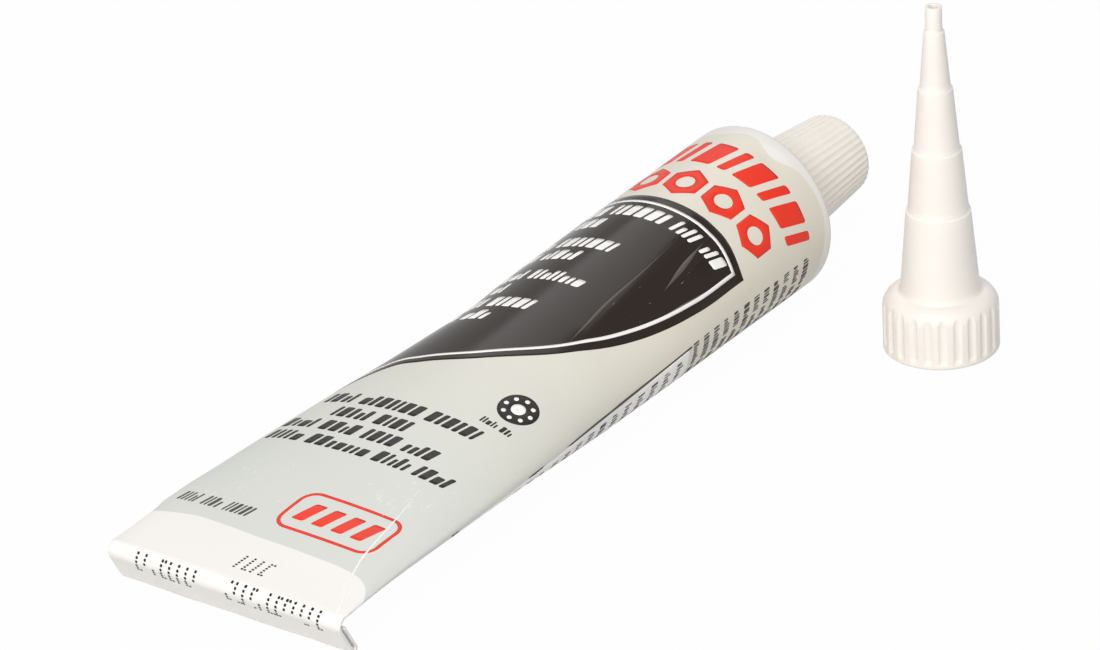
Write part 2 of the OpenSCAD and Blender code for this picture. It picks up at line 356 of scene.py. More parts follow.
# Soft dents: where along, where round from the top line, reach each way, turn and depth
dents = [
    dict(along=97.0, around=11.0, long=13.0, wide=3.0, turn=-3.0, depth=0.16),
    dict(along=70.0, around=-5.0, long=16.0, wide=5.0, turn=10.0, depth=0.14),
    dict(along=84.0, around=16.5, long=9.0, wide=2.4, turn=14.0, depth=0.08),
    dict(along=127.4, around=6.6, long=2.2, wide=3.2, turn=0.0, depth=0.28),
    dict(along=131.0, around=6.6, long=2.0, wide=3.2, turn=0.0, depth=-0.12),
    dict(along=36.0, around=-6.0, long=14.0, wide=7.0, turn=-15.0, depth=0.12),
]
# Folded lines: along, round and height at each point, reach towards -v and +v, and width of the crest
folds = [
    dict(along=[0.0, 4.2, 9.2, 13.5, 23.8, 31.8, 42.0], around=[20.8, 19.2, 17.1, 16.0, 14.0, 12.2, 9.6],
         height=[0.15, 0.42, 0.5, 0.42, 0.28, 0.14, 0.0], before=4.6, after=2.8, crest=0.35),
    dict(along=[64.0, 72.0, 76.0, 82.0, 92.0, 103.0, 114.0], around=[10.4, 9.2, 8.6, 8.1, 7.9, 7.4, 6.6],
         height=[0.0, 0.2, 0.36, 0.42, 0.4, 0.28, 0.0], before=4.0, after=1.8, crest=0.2),
    dict(along=[90.0, 94.0, 99.0, 104.0, 108.0], around=[12.9, 12.2, 11.4, 10.7, 10.2],
         height=[0.0, 0.2, 0.32, 0.24, 0.0], before=1.1, after=2.0, crest=0.12),
    dict(along=[84.0, 90.0, 97.0, 103.0], around=[14.8, 15.6, 16.4, 16.8],
         height=[0.0, 0.2, 0.2, 0.0], before=1.3, after=1.5, crest=0.12),
]
# Bulges and waists of the two side lines: side, where along, reach and how far out
sideShifts = [
    dict(side=1, along=17.5, reach=5.5, out=0.45), dict(side=1, along=13.6, reach=1.6, out=0.2),
    dict(side=1, along=50.0, reach=9.0, out=0.2),
    dict(side=1, along=77.0, reach=6.0, out=-0.6), dict(side=1, along=104.0, reach=13.0, out=0.42),
    dict(side=-1, along=13.0, reach=11.0, out=-0.3), dict(side=-1, along=71.0, reach=13.0, out=-0.42),
]


def wallLines(x):
    # Middle height, half height, half width and lean of the section at distance x from the tail
    t = tube
    share = np.clip(x / wallEndX, 0, 1)
    lowTop, lowBelly = t["tailLift"] + t["tailThick"] / 2, t["tailLift"] - t["tailThick"] / 2
    top = lowTop + (wallEndZ + t["radius"] - lowTop) * share ** t["topEase"]
    settled = smooth(0, 1, np.clip(x / t["bellyTouch"], 0, 1) ** t["bellyEase"])
    belly = lowBelly + (wallEndZ - t["radius"] - lowBelly) * settled
    high = (top - belly) / 2
    thin = 1 - np.clip(high / t["radius"], 0, 1) ** t["sideEase"]
    return (top + belly) / 2, high, t["radius"] + (t["tailWidth"] / 2 - t["radius"]) * thin, tilt * share


def dentDepth(x, around):
    # Sum of the dents and the folded lines, positive inwards
    total = np.zeros(np.broadcast(x, around).shape)
    for d in dents:
        turn = np.radians(d["turn"])
        dx, dv = x - d["along"], around - d["around"]
        total += d["depth"] * bell(dx * np.cos(turn) + dv * np.sin(turn), 0, d["long"]) * bell(
            dv * np.cos(turn) - dx * np.sin(turn), 0, d["wide"])
    for f in folds:
        away = around - np.interp(x, f["along"], f["around"])
        reach = np.where(away < 0, f["before"], f["after"])
        height = np.interp(x, f["along"], f["height"])
        total -= height * np.exp((f["crest"] - np.sqrt(away ** 2 + f["crest"] ** 2)) / reach)
    return total


def wallAt(x, a):
    # Point of the wall at distance x and angle a, in radians from the +Y edge over the top. The
    # section is a flat slit with blunt sides at the bend, and an oval from blunt-sided to round after it
    mid, high, wide, lean = wallLines(x)
    power = 0.4 + 0.35 * smooth(0, 6, x) + 0.25 * smooth(10, 50, x)
    push = dentDepth(x, tube["radius"] * (a - np.pi / 2))
    sine, cosine = np.sin(a), np.cos(a)
    rise = high * np.sign(sine) * np.abs(sine) ** power - push * sine
    y = (wide - push) * cosine
    for shift in sideShifts:
        y = y + shift["side"] * shift["out"] * bell(x, shift["along"], shift["reach"]) * np.clip(
            shift["side"] * cosine, 0, 1) ** 1.5
    return np.stack(np.broadcast_arrays(x - rise * np.sin(lean), y, mid + rise * np.cos(lean)), -1)


def headAt(axial, radius, a):
    # Point on the head's axis frame: axial from the shoulder's edge, radius and angle a
    out = radius * np.sin(a)
    return np.stack(np.broadcast_arrays(
        tube["length"] + axial * np.cos(tilt) - out * np.sin(tilt),
        radius * np.cos(a),
        headZ + axial * np.sin(tilt) + out * np.cos(tilt)), -1)


stripRows = dict(inner=12, nose=17, outer=16, bend=19)
leafRows = stripRows["inner"] + stripRows["nose"] + stripRows["outer"]


def foldPath(leaf, slot):
    # Middle line of the folded strip, from the free edge of the inner leaf to the start of the wall,
    # for leaves of this thickness with this slot between them: x, z, outward angle, half thickness
    t, count = tube, stripRows
    lean = np.radians(t["foldLean"])
    down = np.array([np.sin(lean), -np.cos(lean)])
    inward = np.array([np.cos(lean), np.sin(lean)])
    shift, nose = (leaf + slot) / 2, leaf + slot / 2
    corner = np.array([-(t["tailReach"] - 0.04), t["tailLift"]])
    reach = (corner[1] + shift * np.sin(lean) - nose) / np.cos(lean)
    noseAt = corner + down * reach + inward * shift

    up = np.linspace(t["innerLeaf"], 0.25, count["inner"])[:, None]
    inner = noseAt + inward * shift - down * up
    swing = np.radians(np.linspace(0, 180, count["nose"]))
    noseArc = noseAt + shift * (inward * np.cos(swing)[:, None] + down * np.sin(swing)[:, None])
    outer = corner + down * np.linspace(reach - 0.3, bendTangent + 0.2, count["outer"])[:, None]
    side = np.array([np.cos(lean / 2 - np.pi / 4), np.sin(lean / 2 - np.pi / 4)])
    centre = corner + side * t["bendRadius"] / np.cos(np.pi / 4 + lean / 2)
    turn = np.linspace(np.pi + lean, np.pi / 2, count["bend"])
    bend = centre + t["bendRadius"] * np.stack([np.cos(turn), np.sin(turn)], -1)
    # The bend grows into the wall's first section
    mid, high = wallLines(wallStart)[:2]
    share = np.linspace(0, 1, count["bend"])
    bend[:, 1] += (mid - t["tailLift"]) * share ** 3
    facing = np.concatenate([np.full(count["inner"], lean), lean - swing,
                             np.full(count["outer"], lean - np.pi), turn - 2 * np.pi])
    grown = leaf / 2 + (high - 0.03 - leaf / 2) * smooth(0, 1, share)
    thick = np.concatenate([np.full(leafRows, leaf / 2), grown])
    return np.concatenate([inner, noseArc, outer, bend]), facing, thick


def foldRows(a):
    # The strip is pressed shut along its middle, and its leaves stand apart at both ends
    t = tube
    apart = smooth(0.8, 1.0, np.abs(np.cos(a)))[None, :, None]
    shut, facing, thin = foldPath(t["leafThick"], t["leafGap"])
    opened, facing, thick = foldPath(t["endLeaf"], t["endGap"])
    places = shut[:, None] + (opened - shut)[:, None] * apart
    half = thin[:, None] + (thick - thin)[:, None] * apart[..., 0]
    y = (wallLines(wallStart)[2] - 0.02) * np.cos(a)[None, :] * np.ones((len(shut), 1))
    low = smooth(t["tailLift"], 1.0, places[..., 1])
    wave = t["stripWave"] * low * (np.sin(0.42 * y + 0.8) + 0.5 * np.sin(0.95 * y + 2.0))
    blunt = np.concatenate([np.full(leafRows, 0.12), np.linspace(0.12, 0.4, stripRows["bend"])])[:, None]
    rise = half * np.sign(np.sin(a)) * np.abs(np.sin(a)) ** blunt
    rows = np.stack([
        places[..., 0] + np.cos(facing)[:, None] * rise + wave, y,
        places[..., 1] + np.sin(facing)[:, None] * rise], -1)
    steps = np.linalg.norm(np.diff(shut, axis=0), axis=1)
    length = np.concatenate([[0], np.cumsum(steps)])
    return rows, length - length[-1] + wallStart - 0.2


def headRows(a):
    # Round end, rolled edge, conical shoulder, threaded neck and sealed mouth
    t = tube
    slope = np.radians(t["shoulderSlope"])
    edge = np.linspace(0, np.pi / 2 - slope, 9)
    edgeR = t["radius"] - t["rollEdge"] * (1 - np.cos(edge))
    edgeZ = -t["rollEdge"] * (1 - np.sin(edge))
    neckZ = edgeZ[-1] + (edgeR[-1] - t["neckRadius"]) * np.tan(slope)
    root = t["neckRadius"] - t["threadDepth"]
    neckTop = neckZ + t["neckLength"]
    shoulderR = np.linspace(edgeR[-1], root + 0.25, 12)[1:]
    shoulderZ = edgeZ[-1] + (edgeR[-1] - shoulderR) * np.tan(slope)
    neckRows = 66
    neckZs = np.linspace(shoulderZ[-1] + 0.25, neckTop - 0.5, neckRows)
    lip = np.radians(np.linspace(0, 90, 6))
    lipR = root + 0.1 - 0.4 * (1 - np.cos(lip))
    lipZ = neckTop - 0.4 * (1 - np.sin(lip))
    rimR = np.array([root - 0.6, t["mouthRadius"] + 0.25, t["mouthRadius"] + 0.05, t["mouthRadius"]])
    rimZ = neckTop - np.array([0, 0, 0.08, 0.25])
    skinR = np.array([t["mouthRadius"], t["mouthRadius"] - 0.3, 1.6, 0.4])
    skinZ = neckTop - t["mouthDepth"] + np.array([0.1, 0, -0.12, -0.18])
    straight = np.linspace(-t["lastStation"] + 0.5, -t["rollEdge"] - 0.2, 4)
    radius = np.concatenate([
        np.full(4, t["radius"]), edgeR, shoulderR, np.full(neckRows, root), lipR, rimR, skinR])
    axial = np.concatenate([straight, edgeZ, shoulderZ, neckZs, lipZ, rimZ, skinZ])
    # Thread: a rounded ridge that climbs one pitch each turn and fades at both ends
    turns = (axial[:, None] - neckZ) / t["threadPitch"] - a[None, :] / (2 * np.pi)
    ridge = smooth(0.15, 0.75, 0.5 + 0.5 * np.cos(2 * np.pi * turns))
    ends = smooth(neckZ + 0.6, neckZ + 1.5, axial) * (1 - smooth(neckTop - 1.9, neckTop - 1.0, axial))
    radius = radius[:, None] + t["threadDepth"] * ridge * ends[:, None]
    travelled = np.concatenate([[0.5], np.hypot(np.diff(radius[:, 0]), np.diff(axial))])
    return headAt(axial[:, None], radius, a[None, :]), wallEndX + np.cumsum(travelled)


def arcAround(points):
    # Share of the girth from the top line, in millimetres of the round tube, for rows of points
    closed = np.concatenate([points, points[:, :1]], 1)
    steps = np.linalg.norm(np.diff(closed, axis=1), axis=-1)
    arc = np.concatenate([np.zeros((len(points), 1)), np.cumsum(steps, 1)], 1)
    return (arc / arc[:, -1:] - 0.5) * 2 * halfGirth


def makeTube():
    # Rows of the strip, the wall and the head joined into one closed skin round the tube
    n = tube["columns"]
    a = -np.pi / 2 + 2 * np.pi * np.arange(n) / n
    strip, stripAlong = foldRows(a)
    x = np.concatenate([np.linspace(wallStart, 12, 24)[:-1], np.linspace(12, wallEndX, 190)])
    wall = wallAt(x[:, None], a[None, :])
    head, headAlong = headRows(a)
    points = np.concatenate([strip, wall, head])
    along = np.concatenate([stripAlong, x, headAlong])
    around = arcAround(points)
    rows = len(points)
    quads = gridQuads(rows, n, closed=True)
    zone = np.stack([along[:, None] - lineAt(enamel["marginLine"], around),
                     along[:, None] - lineAt(enamel["bandLine"], around)], -1)
    uv = np.stack([zone[:-1, :-1], zone[:-1, 1:], zone[1:, 1:], zone[1:, :-1]], 2).reshape(-1, 2)
    # Bare metal at the strip's cut ends and on the neck
    bare = np.zeros((rows, n))
    cutEnd = smooth(0.9925, 0.9975, np.abs(np.cos(a)))
    bare[:leafRows] = cutEnd
    bare[leafRows:len(strip)] = cutEnd * np.linspace(1, 0, stripRows["bend"])[:, None] ** 3
    bare[along > tube["length"] + 1.4] = 1
    # The free edge of the inner leaf is closed by a ladder across the slit, the mouth by a fan
    k = np.arange(n // 4 + 1, 3 * n // 4 - 1)
    ladder = np.stack([(n // 2 - k) % n, (n // 2 - k - 1) % n, k + 1, k], -1)
    first, last = n // 4, 3 * n // 4
    corners = [(first, (n // 2 - first - 1) % n, first + 1), (last - 1, (n // 2 - last + 1) % n, last)]
    middle = headAt(np.array(headTop() - tube["mouthDepth"] - 0.19), np.array(0.0), np.array(0.0))
    c = np.arange(n) + (rows - 1) * n
    fan = [(int(p), int(q), rows * n) for p, q in zip(c, np.roll(c, -1))]
    allPoints = np.concatenate([points.reshape(-1, 3), middle.reshape(1, 3)]) * mm + tailPlace
    ladderZone = np.tile([-20.0, -140.0], (len(ladder) * 4, 1))
    piece = makePiece("tube_wall", allPoints, np.concatenate([quads, ladder]), corners + fan,
                      np.concatenate([uv, ladderZone]), tubeFinish, "tube",
                      np.concatenate([bare.ravel(), [1.0]]))
    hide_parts("tube_body")
    return piece


def headTop():
    # Height of the mouth's rim along the axis, from the shoulder's edge
    slope = np.radians(tube["shoulderSlope"])
    edgeR = tube["radius"] - tube["rollEdge"] * (1 - np.sin(slope))
    edgeZ = -tube["rollEdge"] * (1 - np.cos(slope))
    return edgeZ + (edgeR - tube["neckRadius"]) * np.tan(slope) + tube["neckLength"]


tubePiece = makeTube()
print("tube wall:", len(tubePiece.data.polygons), "faces")


# Print

# The outer leaf, the bend and the wall as a chart: places and outward normals at regular steps round
# the girth, and at known distances along the tube
chartV = np.arange(-halfGirth + 0.2, halfGirth - 0.2, 0.25)


def makeChart():
    a = -np.pi / 2 + 2 * np.pi * np.arange(1440) / 1440
    strip, stripAlong = foldRows(a)
    x = np.arange(wallStart + 0.2, wallEndX, 0.5)
    past = stripRows["inner"] + stripRows["nose"] + 1
    dense = np.concatenate([strip[past:], wallAt(x[:, None], a[None, :])])
    arc = arcAround(dense)[:, :-1]
    places = np.stack([np.stack([np.interp(chartV, line, row[:, k]) for k in range(3)], -1)
                       for line, row in zip(arc, dense)])
    out = np.cross(np.gradient(places, axis=1), np.gradient(places, axis=0))
    out /= np.linalg.norm(out, axis=-1, keepdims=True)
    return np.concatenate([stripAlong[past:], x]), places, out


chartU, chartPlaces, chartOut = makeChart()


def onWall(u, v, lift):
    # Point at u along and v round from the top line, lifted off the wall, by bilinear interpolation
    i = np.clip(np.interp(u, chartU, np.arange(len(chartU))), 0, len(chartU) - 1.001)
    j = np.clip((v - chartV[0]) / 0.25, 0, len(chartV) - 1.001)
    i0, j0 = i.astype(int), j.astype(int)
    fi, fj = (i - i0)[..., None], (j - j0)[..., None]
    corner = lambda g: ((g[i0, j0] * (1 - fi) + g[i0 + 1, j0] * fi) * (1 - fj)
                        + (g[i0, j0 + 1] * (1 - fi) + g[i0 + 1, j0 + 1] * fi) * fj)
    return corner(chartPlaces) + corner(chartOut) * np.expand_dims(lift, -1)


def inkSlab(u, v, closed, top, bottom=0.04):
    # Closed thin slab over a grid of chart places: top face, buried under face and side faces
    rows, columns = u.shape
    upper, lower = onWall(u, v, np.full(u.shape, top)), onWall(u, v, np.full(u.shape, -bottom))
    quads = gridQuads(rows, columns, closed)
    count = rows * columns
    c = np.arange(columns if closed else columns - 1)
    n = (c + 1) % columns
    end = (rows - 1) * columns
    rims = [(c, n), (end + n, end + c)]
    if not closed:
        r = np.arange(rows - 1) * columns
        w, last = r + columns, columns - 1
        rims += [(w, r), (r + last, w + last)]
    sides = [np.stack([p, p + count, q + count, q], -1) for p, q in rims]
    quads = np.concatenate([quads, quads[:, ::-1] + count, *sides])
    area = (u[1, 0] - u[0, 0]) * (v[0, 1] - v[0, 0]) - (v[1, 0] - v[0, 0]) * (u[0, 1] - u[0, 0])
    if area < 0:
        quads = quads[:, ::-1]
    return np.concatenate([upper.reshape(-1, 3), lower.reshape(-1, 3)]), quads


def inkPiece(name, marks, material, top=0.02):
    # Joins the slabs of one ink into one piece
    slabs = [inkSlab(u, v, closed, top) for u, v, closed in marks]
    starts = np.cumsum([0] + [len(p) for p, q in slabs[:-1]])
    points = np.concatenate([p for p, q in slabs]) * mm + tailPlace
    quads = np.concatenate([q + s for (p, q), s in zip(slabs, starts)])
    piece = makePiece(name, points, quads, material=material, body="tube")
    print(name + ":", len(quads), "faces")
    return piece


def between(lowU, lowV, highU, highV, steps):
    # Grid between two border lines of the same number of points
    s = np.linspace(0, 1, steps)[:, None]
    return lowU + (highU - lowU) * s, lowV + (highV - lowV) * s


def bar(u, v, wide, high, slant=0.0, corner=0.3):
    # Rounded bar, wide round the tube and high along it; slant leans it like italic strokes
    corner = min(corner, high * 0.49, wide * 0.49)
    flat = max(wide / 2 - corner, 0.01)
    ends = corner * np.sin(np.radians(np.linspace(0, 90, 4)))
    inside = np.linspace(-flat, flat, max(2, int(wide / 0.7) + 2))
    s = np.concatenate([-flat - ends[:0:-1], inside, flat + ends[1:]])
    past = np.clip(np.abs(s) - flat, 0, corner)
    half = high / 2 - corner + np.sqrt(np.maximum(corner ** 2 - past ** 2, (0.05 * corner) ** 2))
    gridU, gridV = between(u - half, v + s, u + half, v + s, max(2, int(high / 0.7) + 2))
    return gridU, gridV + slant * (gridU - u), False


def ring(u, v, outer, inner, sides=0, points=72, turn=0.0):
    # Ring with a round hole; with sides its outline is a polygon measured across the flats
    angle = np.linspace(0, 2 * np.pi, points, endpoint=False)
    radius = np.full(points, outer)
    if sides:
        part = 2 * np.pi / sides
        radius = outer / np.cos(angle % part - part / 2)
    s = np.linspace(0, 1, 4)[:, None]
    r = inner + (radius - inner) * s
    return u + r * np.cos(angle + turn), v + r * np.sin(angle + turn), True


def frameLoop(wide, high, corner, points=10):
    # Points round a rectangle with rounded corners, the same number on each stretch
    quarter = np.radians(np.linspace(0, 90, points))
    loopV, loopU = [], []
    for k, (sv, su) in enumerate([(1, 1), (-1, 1), (-1, -1), (1, -1)]):
        arc = quarter + k * np.pi / 2
        loopV.append(sv * (wide / 2 - corner) + corner * np.cos(arc))
        loopU.append(su * (high / 2 - corner) + corner * np.sin(arc))
    v, u = np.concatenate(loopV), np.concatenate(loopU)
    fineV = np.concatenate([np.linspace(v[i], v[(i + 1) % len(v)], 4)[:-1] for i in range(len(v))])
    fineU = np.concatenate([np.linspace(u[i], u[(i + 1) % len(u)], 4)[:-1] for i in range(len(u))])
    return fineU, fineV


def outline(u, v, wide, high, corner, line):
    # Line round a rounded rectangle
    outerU, outerV = frameLoop(wide, high, corner)
    innerU, innerV = frameLoop(wide - 2 * line, high - 2 * line, corner - line)
    gridU, gridV = between(innerU, innerV, outerU, outerV, 3)
    return u + gridU, v + gridV, True


def curveThrough(points, count):
    # Smooth curve through the points: one cubic from each point to the next, whose slope at a point is
    # half the step between its two neighbours
    p = np.array(points, float)
    p = np.concatenate([[2 * p[0] - p[1]], p, [2 * p[-1] - p[-2]]])
    s = np.linspace(0, len(points) - 1.0001, count)
    i, f = s.astype(int), (s % 1)[:, None]
    a, b, c, d = p[i], p[i + 1], p[i + 2], p[i + 3]
    square, cube = 2 * a - 5 * b + 4 * c - d, 3 * b - a - 3 * c + d
    return 0.5 * (2 * b + (c - a) * f + square * f ** 2 + cube * f ** 3)


def offsetLine(line, distance):
    # The line moved sideways, with mitred corners; distance is one number or one for each point
    step = np.diff(line, axis=0)
    step /= np.linalg.norm(step, axis=1, keepdims=True)
    side = np.stack([-step[:, 1], step[:, 0]], -1)
    before, after = np.vstack([side[:1], side]), np.vstack([side, side[-1:]])
    both = before + after
    spread = np.maximum((both ** 2).sum(1, keepdims=True), 1.0)
    return line + np.reshape(distance, (-1, 1)) * 2 * both / spread


def stroke(line, width):
    # Band of this width along a line of round and along pairs
    low, high = offsetLine(line, -np.array(width) / 2), offsetLine(line, np.array(width) / 2)
    gridU, gridV = between(low[:, 1], low[:, 0], high[:, 1], high[:, 0], 2)
    return gridU, gridV, False


panel = dict(
    top=109.1, topFall=1.3, leftEdge=-25.0, inset=1.75, line=0.6,
    # Lower border as round and along pairs, from its far end to the corner by the head
    border=[(-25.0, 45.0), (-19.0, 50.5), (-12.9, 56.6), (-8.2, 58.4), (0.6, 62.2), (9.7, 69.8),
            (15.8, 82.5), (18.4, 96.2), (19.0, 108.0)],
    # Rows of pale strokes: where along, and where round they end
    rows=[(100.6, -5.0), (94.7, 2.2), (90.9, -2.4), (85.0, 3.2), (81.1, -8.5), (76.9, -0.5), (73.0, -5.5)],
)


def panelTop(v):
    # Upper border of the panel, which drops a little towards its corner
    return panel["top"] - panel["topFall"] * smooth(11.0, 19.0, v)


def makePanel():
    # Fills the panel between its curved border and its upper one, and returns the pale line inside it
    border = curveThrough(panel["border"], 150)
    low = np.minimum(border[:, 1], panelTop(border[:, 0]) - 0.02)
    u, v = between(low, border[:, 0], panelTop(border[:, 0]), border[:, 0], 90)
    inkPiece("print_panel", [(u, v, False)], blackInk, 0.018)
    inner = offsetLine(border, panel["inset"])
    leftEnd = panel["leftEdge"] + 0.5
    inner = inner[(inner[:, 1] < panelTop(inner[:, 0]) - panel["inset"]) & (inner[:, 0] > leftEnd)]
    across = np.linspace(inner[-1, 0], leftEnd, 60)
    headRun = np.stack([across, panelTop(across) - panel["inset"]], -1)
    return stroke(np.concatenate([inner, headRun]), panel["line"])


def rowOf(u, vStart, widths, gap, high, slant, corner=0.35):
    # A row of bars from vStart on
    starts = vStart + np.concatenate([[0], np.cumsum(np.array(widths[:-1]) + gap)])
    return [bar(u, s + w / 2, w, high, slant, corner) for s, w in zip(starts, widths)]


def marksIn(u, vStart, vEnd, high, weight=1.0, slant=0.25):
    # A row of slanted strokes in short groups: some wide, some low, all standing on one base line
    marks, v = [], vStart
    while v < vEnd - 0.4 * high:
        for _ in range(rng.integers(4, 9)):
            wide = weight * high * rng.choice([0.22, 0.3, 0.5])
            tall = high * rng.choice([1.0, 1.0, 1.0, 0.7])
            if v + wide > vEnd:
                break
            marks.append(bar(u - (high - tall) / 2, v + wide / 2, wide, tall, slant, 0.1 * high))
            v += wide + 0.17 * high
        v += 0.4 * high
    return marks


def flangeGasket(u, v, radius):
    # Round gasket seen flat: a dark disc, with a pale bore and pale bolt holes over it
    holes = [ring(u, v, 0.36 * radius, 0.02, points=40)]
    for k in range(8):
        turn = 2 * np.pi * k / 8
        holeU, holeV = u + 0.7 * radius * np.cos(turn), v + 0.7 * radius * np.sin(turn)
        holes.append(ring(holeU, holeV, 0.12 * radius, 0.02, points=16))
    return ring(u, v, radius, 0.3 * radius, points=96), holes


def makePrint():
    # One piece for each ink, its marks thin closed slabs on the wall
    whiteMarks = [makePanel()] + marksIn(104.6, -19.0, 16.6, 2.9, 1.1)
    for u, end in panel["rows"]:
        whiteMarks += marksIn(u, -19.5, end, 2.7, 1.1)
    gasketDisc, holes = flangeGasket(55.6, 12.6, 3.3)
    whiteMarks += holes
    # Pale field of the small rows, inside its dark line
    across = np.linspace(22.5, 35.5, 40)
    whiteMarks.append((*between(np.full(40, 28.0), across, np.full(40, 92.0), across, 110), False))
    inkPiece("print_white", whiteMarks, whiteInk, 0.032)

    redMarks = rowOf(122.7, -26.6, [3.7, 1.6] * 6, 1.35, 5.8, 0.3, 0.4)
    for k in range(6):
        redMarks.append(ring(114.3, 14.6 - 7.3 * k, 3.1, 1.5, sides=6))
    redMarks.append(outline(19.0, 7.4, 18.4, 9.4, 2.6, 0.6))
    redMarks += rowOf(19.0, 0.9, [2.1, 2.1, 2.1, 2.1], 1.5, 4.4, 0.3, 0.35)
    inkPiece("print_red", redMarks, redInk)

    darkMarks = [gasketDisc] + marksIn(46.7, -17.0, 13.2, 2.7, 1.1) + marksIn(42.8, -12.5, 2.4, 2.7, 1.1)
    darkMarks += marksIn(38.9, -19.0, 11.3, 2.7, 1.1) + marksIn(35.0, -19.0, 15.8, 2.7, 1.1)
    darkMarks += marksIn(50.4, 9.6, 15.8, 1.4, 1.0, 0.1)
    inkPiece("print_dark", darkMarks, darkInk, 0.026)

    # Thin rows: beside the panel, in the pale field and near the tail; every third row is bolder
    smallMarks = [outline(60.0, 29.0, 13.6, 64.9, 0.15, 0.34)]
    for k in range(12):
        smallMarks += marksIn(124.4 - 2.8 * k, 23.6 - 0.13 * k, 37.0, 1.45, 1.0 if k % 3 == 0 else 0.6, 0.0)
    for k in range(18):
        smallMarks += marksIn(89.4 - 3.4 * k, 23.5, 35.0, 1.7, 1.0 if k % 3 == 0 else 0.6, 0.0)
    smallMarks += marksIn(15.3, -19.0, -5.6, 2.4, 0.5)
    inkPiece("print_small", smallMarks, greyInk, 0.042)

    # Dotted ticks over the bend: whole ticks, halves and level dashes
    tally = []
    for row, start, ticks in ((-0.6, -16.6, 8), (-0.4, 0.4, 12), (4.9, -0.6, 4)):
        for k in range(ticks):
            v = start + 1.55 * k
            low, high = rng.choice([(0, 6), (0, 6), (0, 3), (3, 6)])
            places = [(0.54 * dot, 0.1 * dot) for dot in range(low, high)]
            places += [(2.7 * rng.integers(0, 2), 0.55 * dot) for dot in range(1, 1 + rng.integers(0, 3))]
            tally += [bar(row - 1.35 + up, v + out, 0.42, 0.34, 0, 0.12) for up, out in places]
    inkPiece("print_tally", tally, darkInk, 0.025)

    # The film pales along the sharp fold by the tail
    line = curveThrough(list(zip(folds[0]["around"], folds[0]["along"]))[:-1], 120)
    wide = 0.05 + 0.3 * smooth(0.0, 5.0, line[:, 1]) * (1 - smooth(18.0, 34.0, line[:, 1]))
    inkPiece("crease_wear", [stroke(line, wide)], creaseInk, 0.024)
    # Painted highlights: pale strokes along the folds on the dark panel stand in for the sheen those folds
    # catch
    foldHighlights = []
    for fold, broad in ((folds[1], 0.5), (folds[2], 0.8), (folds[3], 0.5)):
        line = curveThrough(list(zip(fold["around"], fold["along"])), 80)[12:-14]
        foldHighlights.append(stroke(line, broad * np.sin(np.linspace(0, np.pi, len(line))) ** 2 + 0.02))
    inkPiece("painted_fold_highlights", foldHighlights, paintedSheenInk, 0.028)


makePrint()
print("print made")


# Screw cap

cap = dict(
    baseRadius=8.1, endRadius=6.45, length=17.0, rim=0.8, edge=0.5, ribs=42, ribHeight=0.15, ribColumns=12,
    seat=0.3, bore=5.65, groove=0.4, boreSpare=0.5,
)


def shoulderAt(radius):
    # Height of the shoulder's cone at a radius, along the axis
    slope = np.radians(tube["shoulderSlope"])
    edgeR = tube["radius"] - tube["rollEdge"] * (1 - np.sin(slope))
    return -tube["rollEdge"] * (1 - np.cos(slope)) + (edgeR - radius) * np.tan(slope)


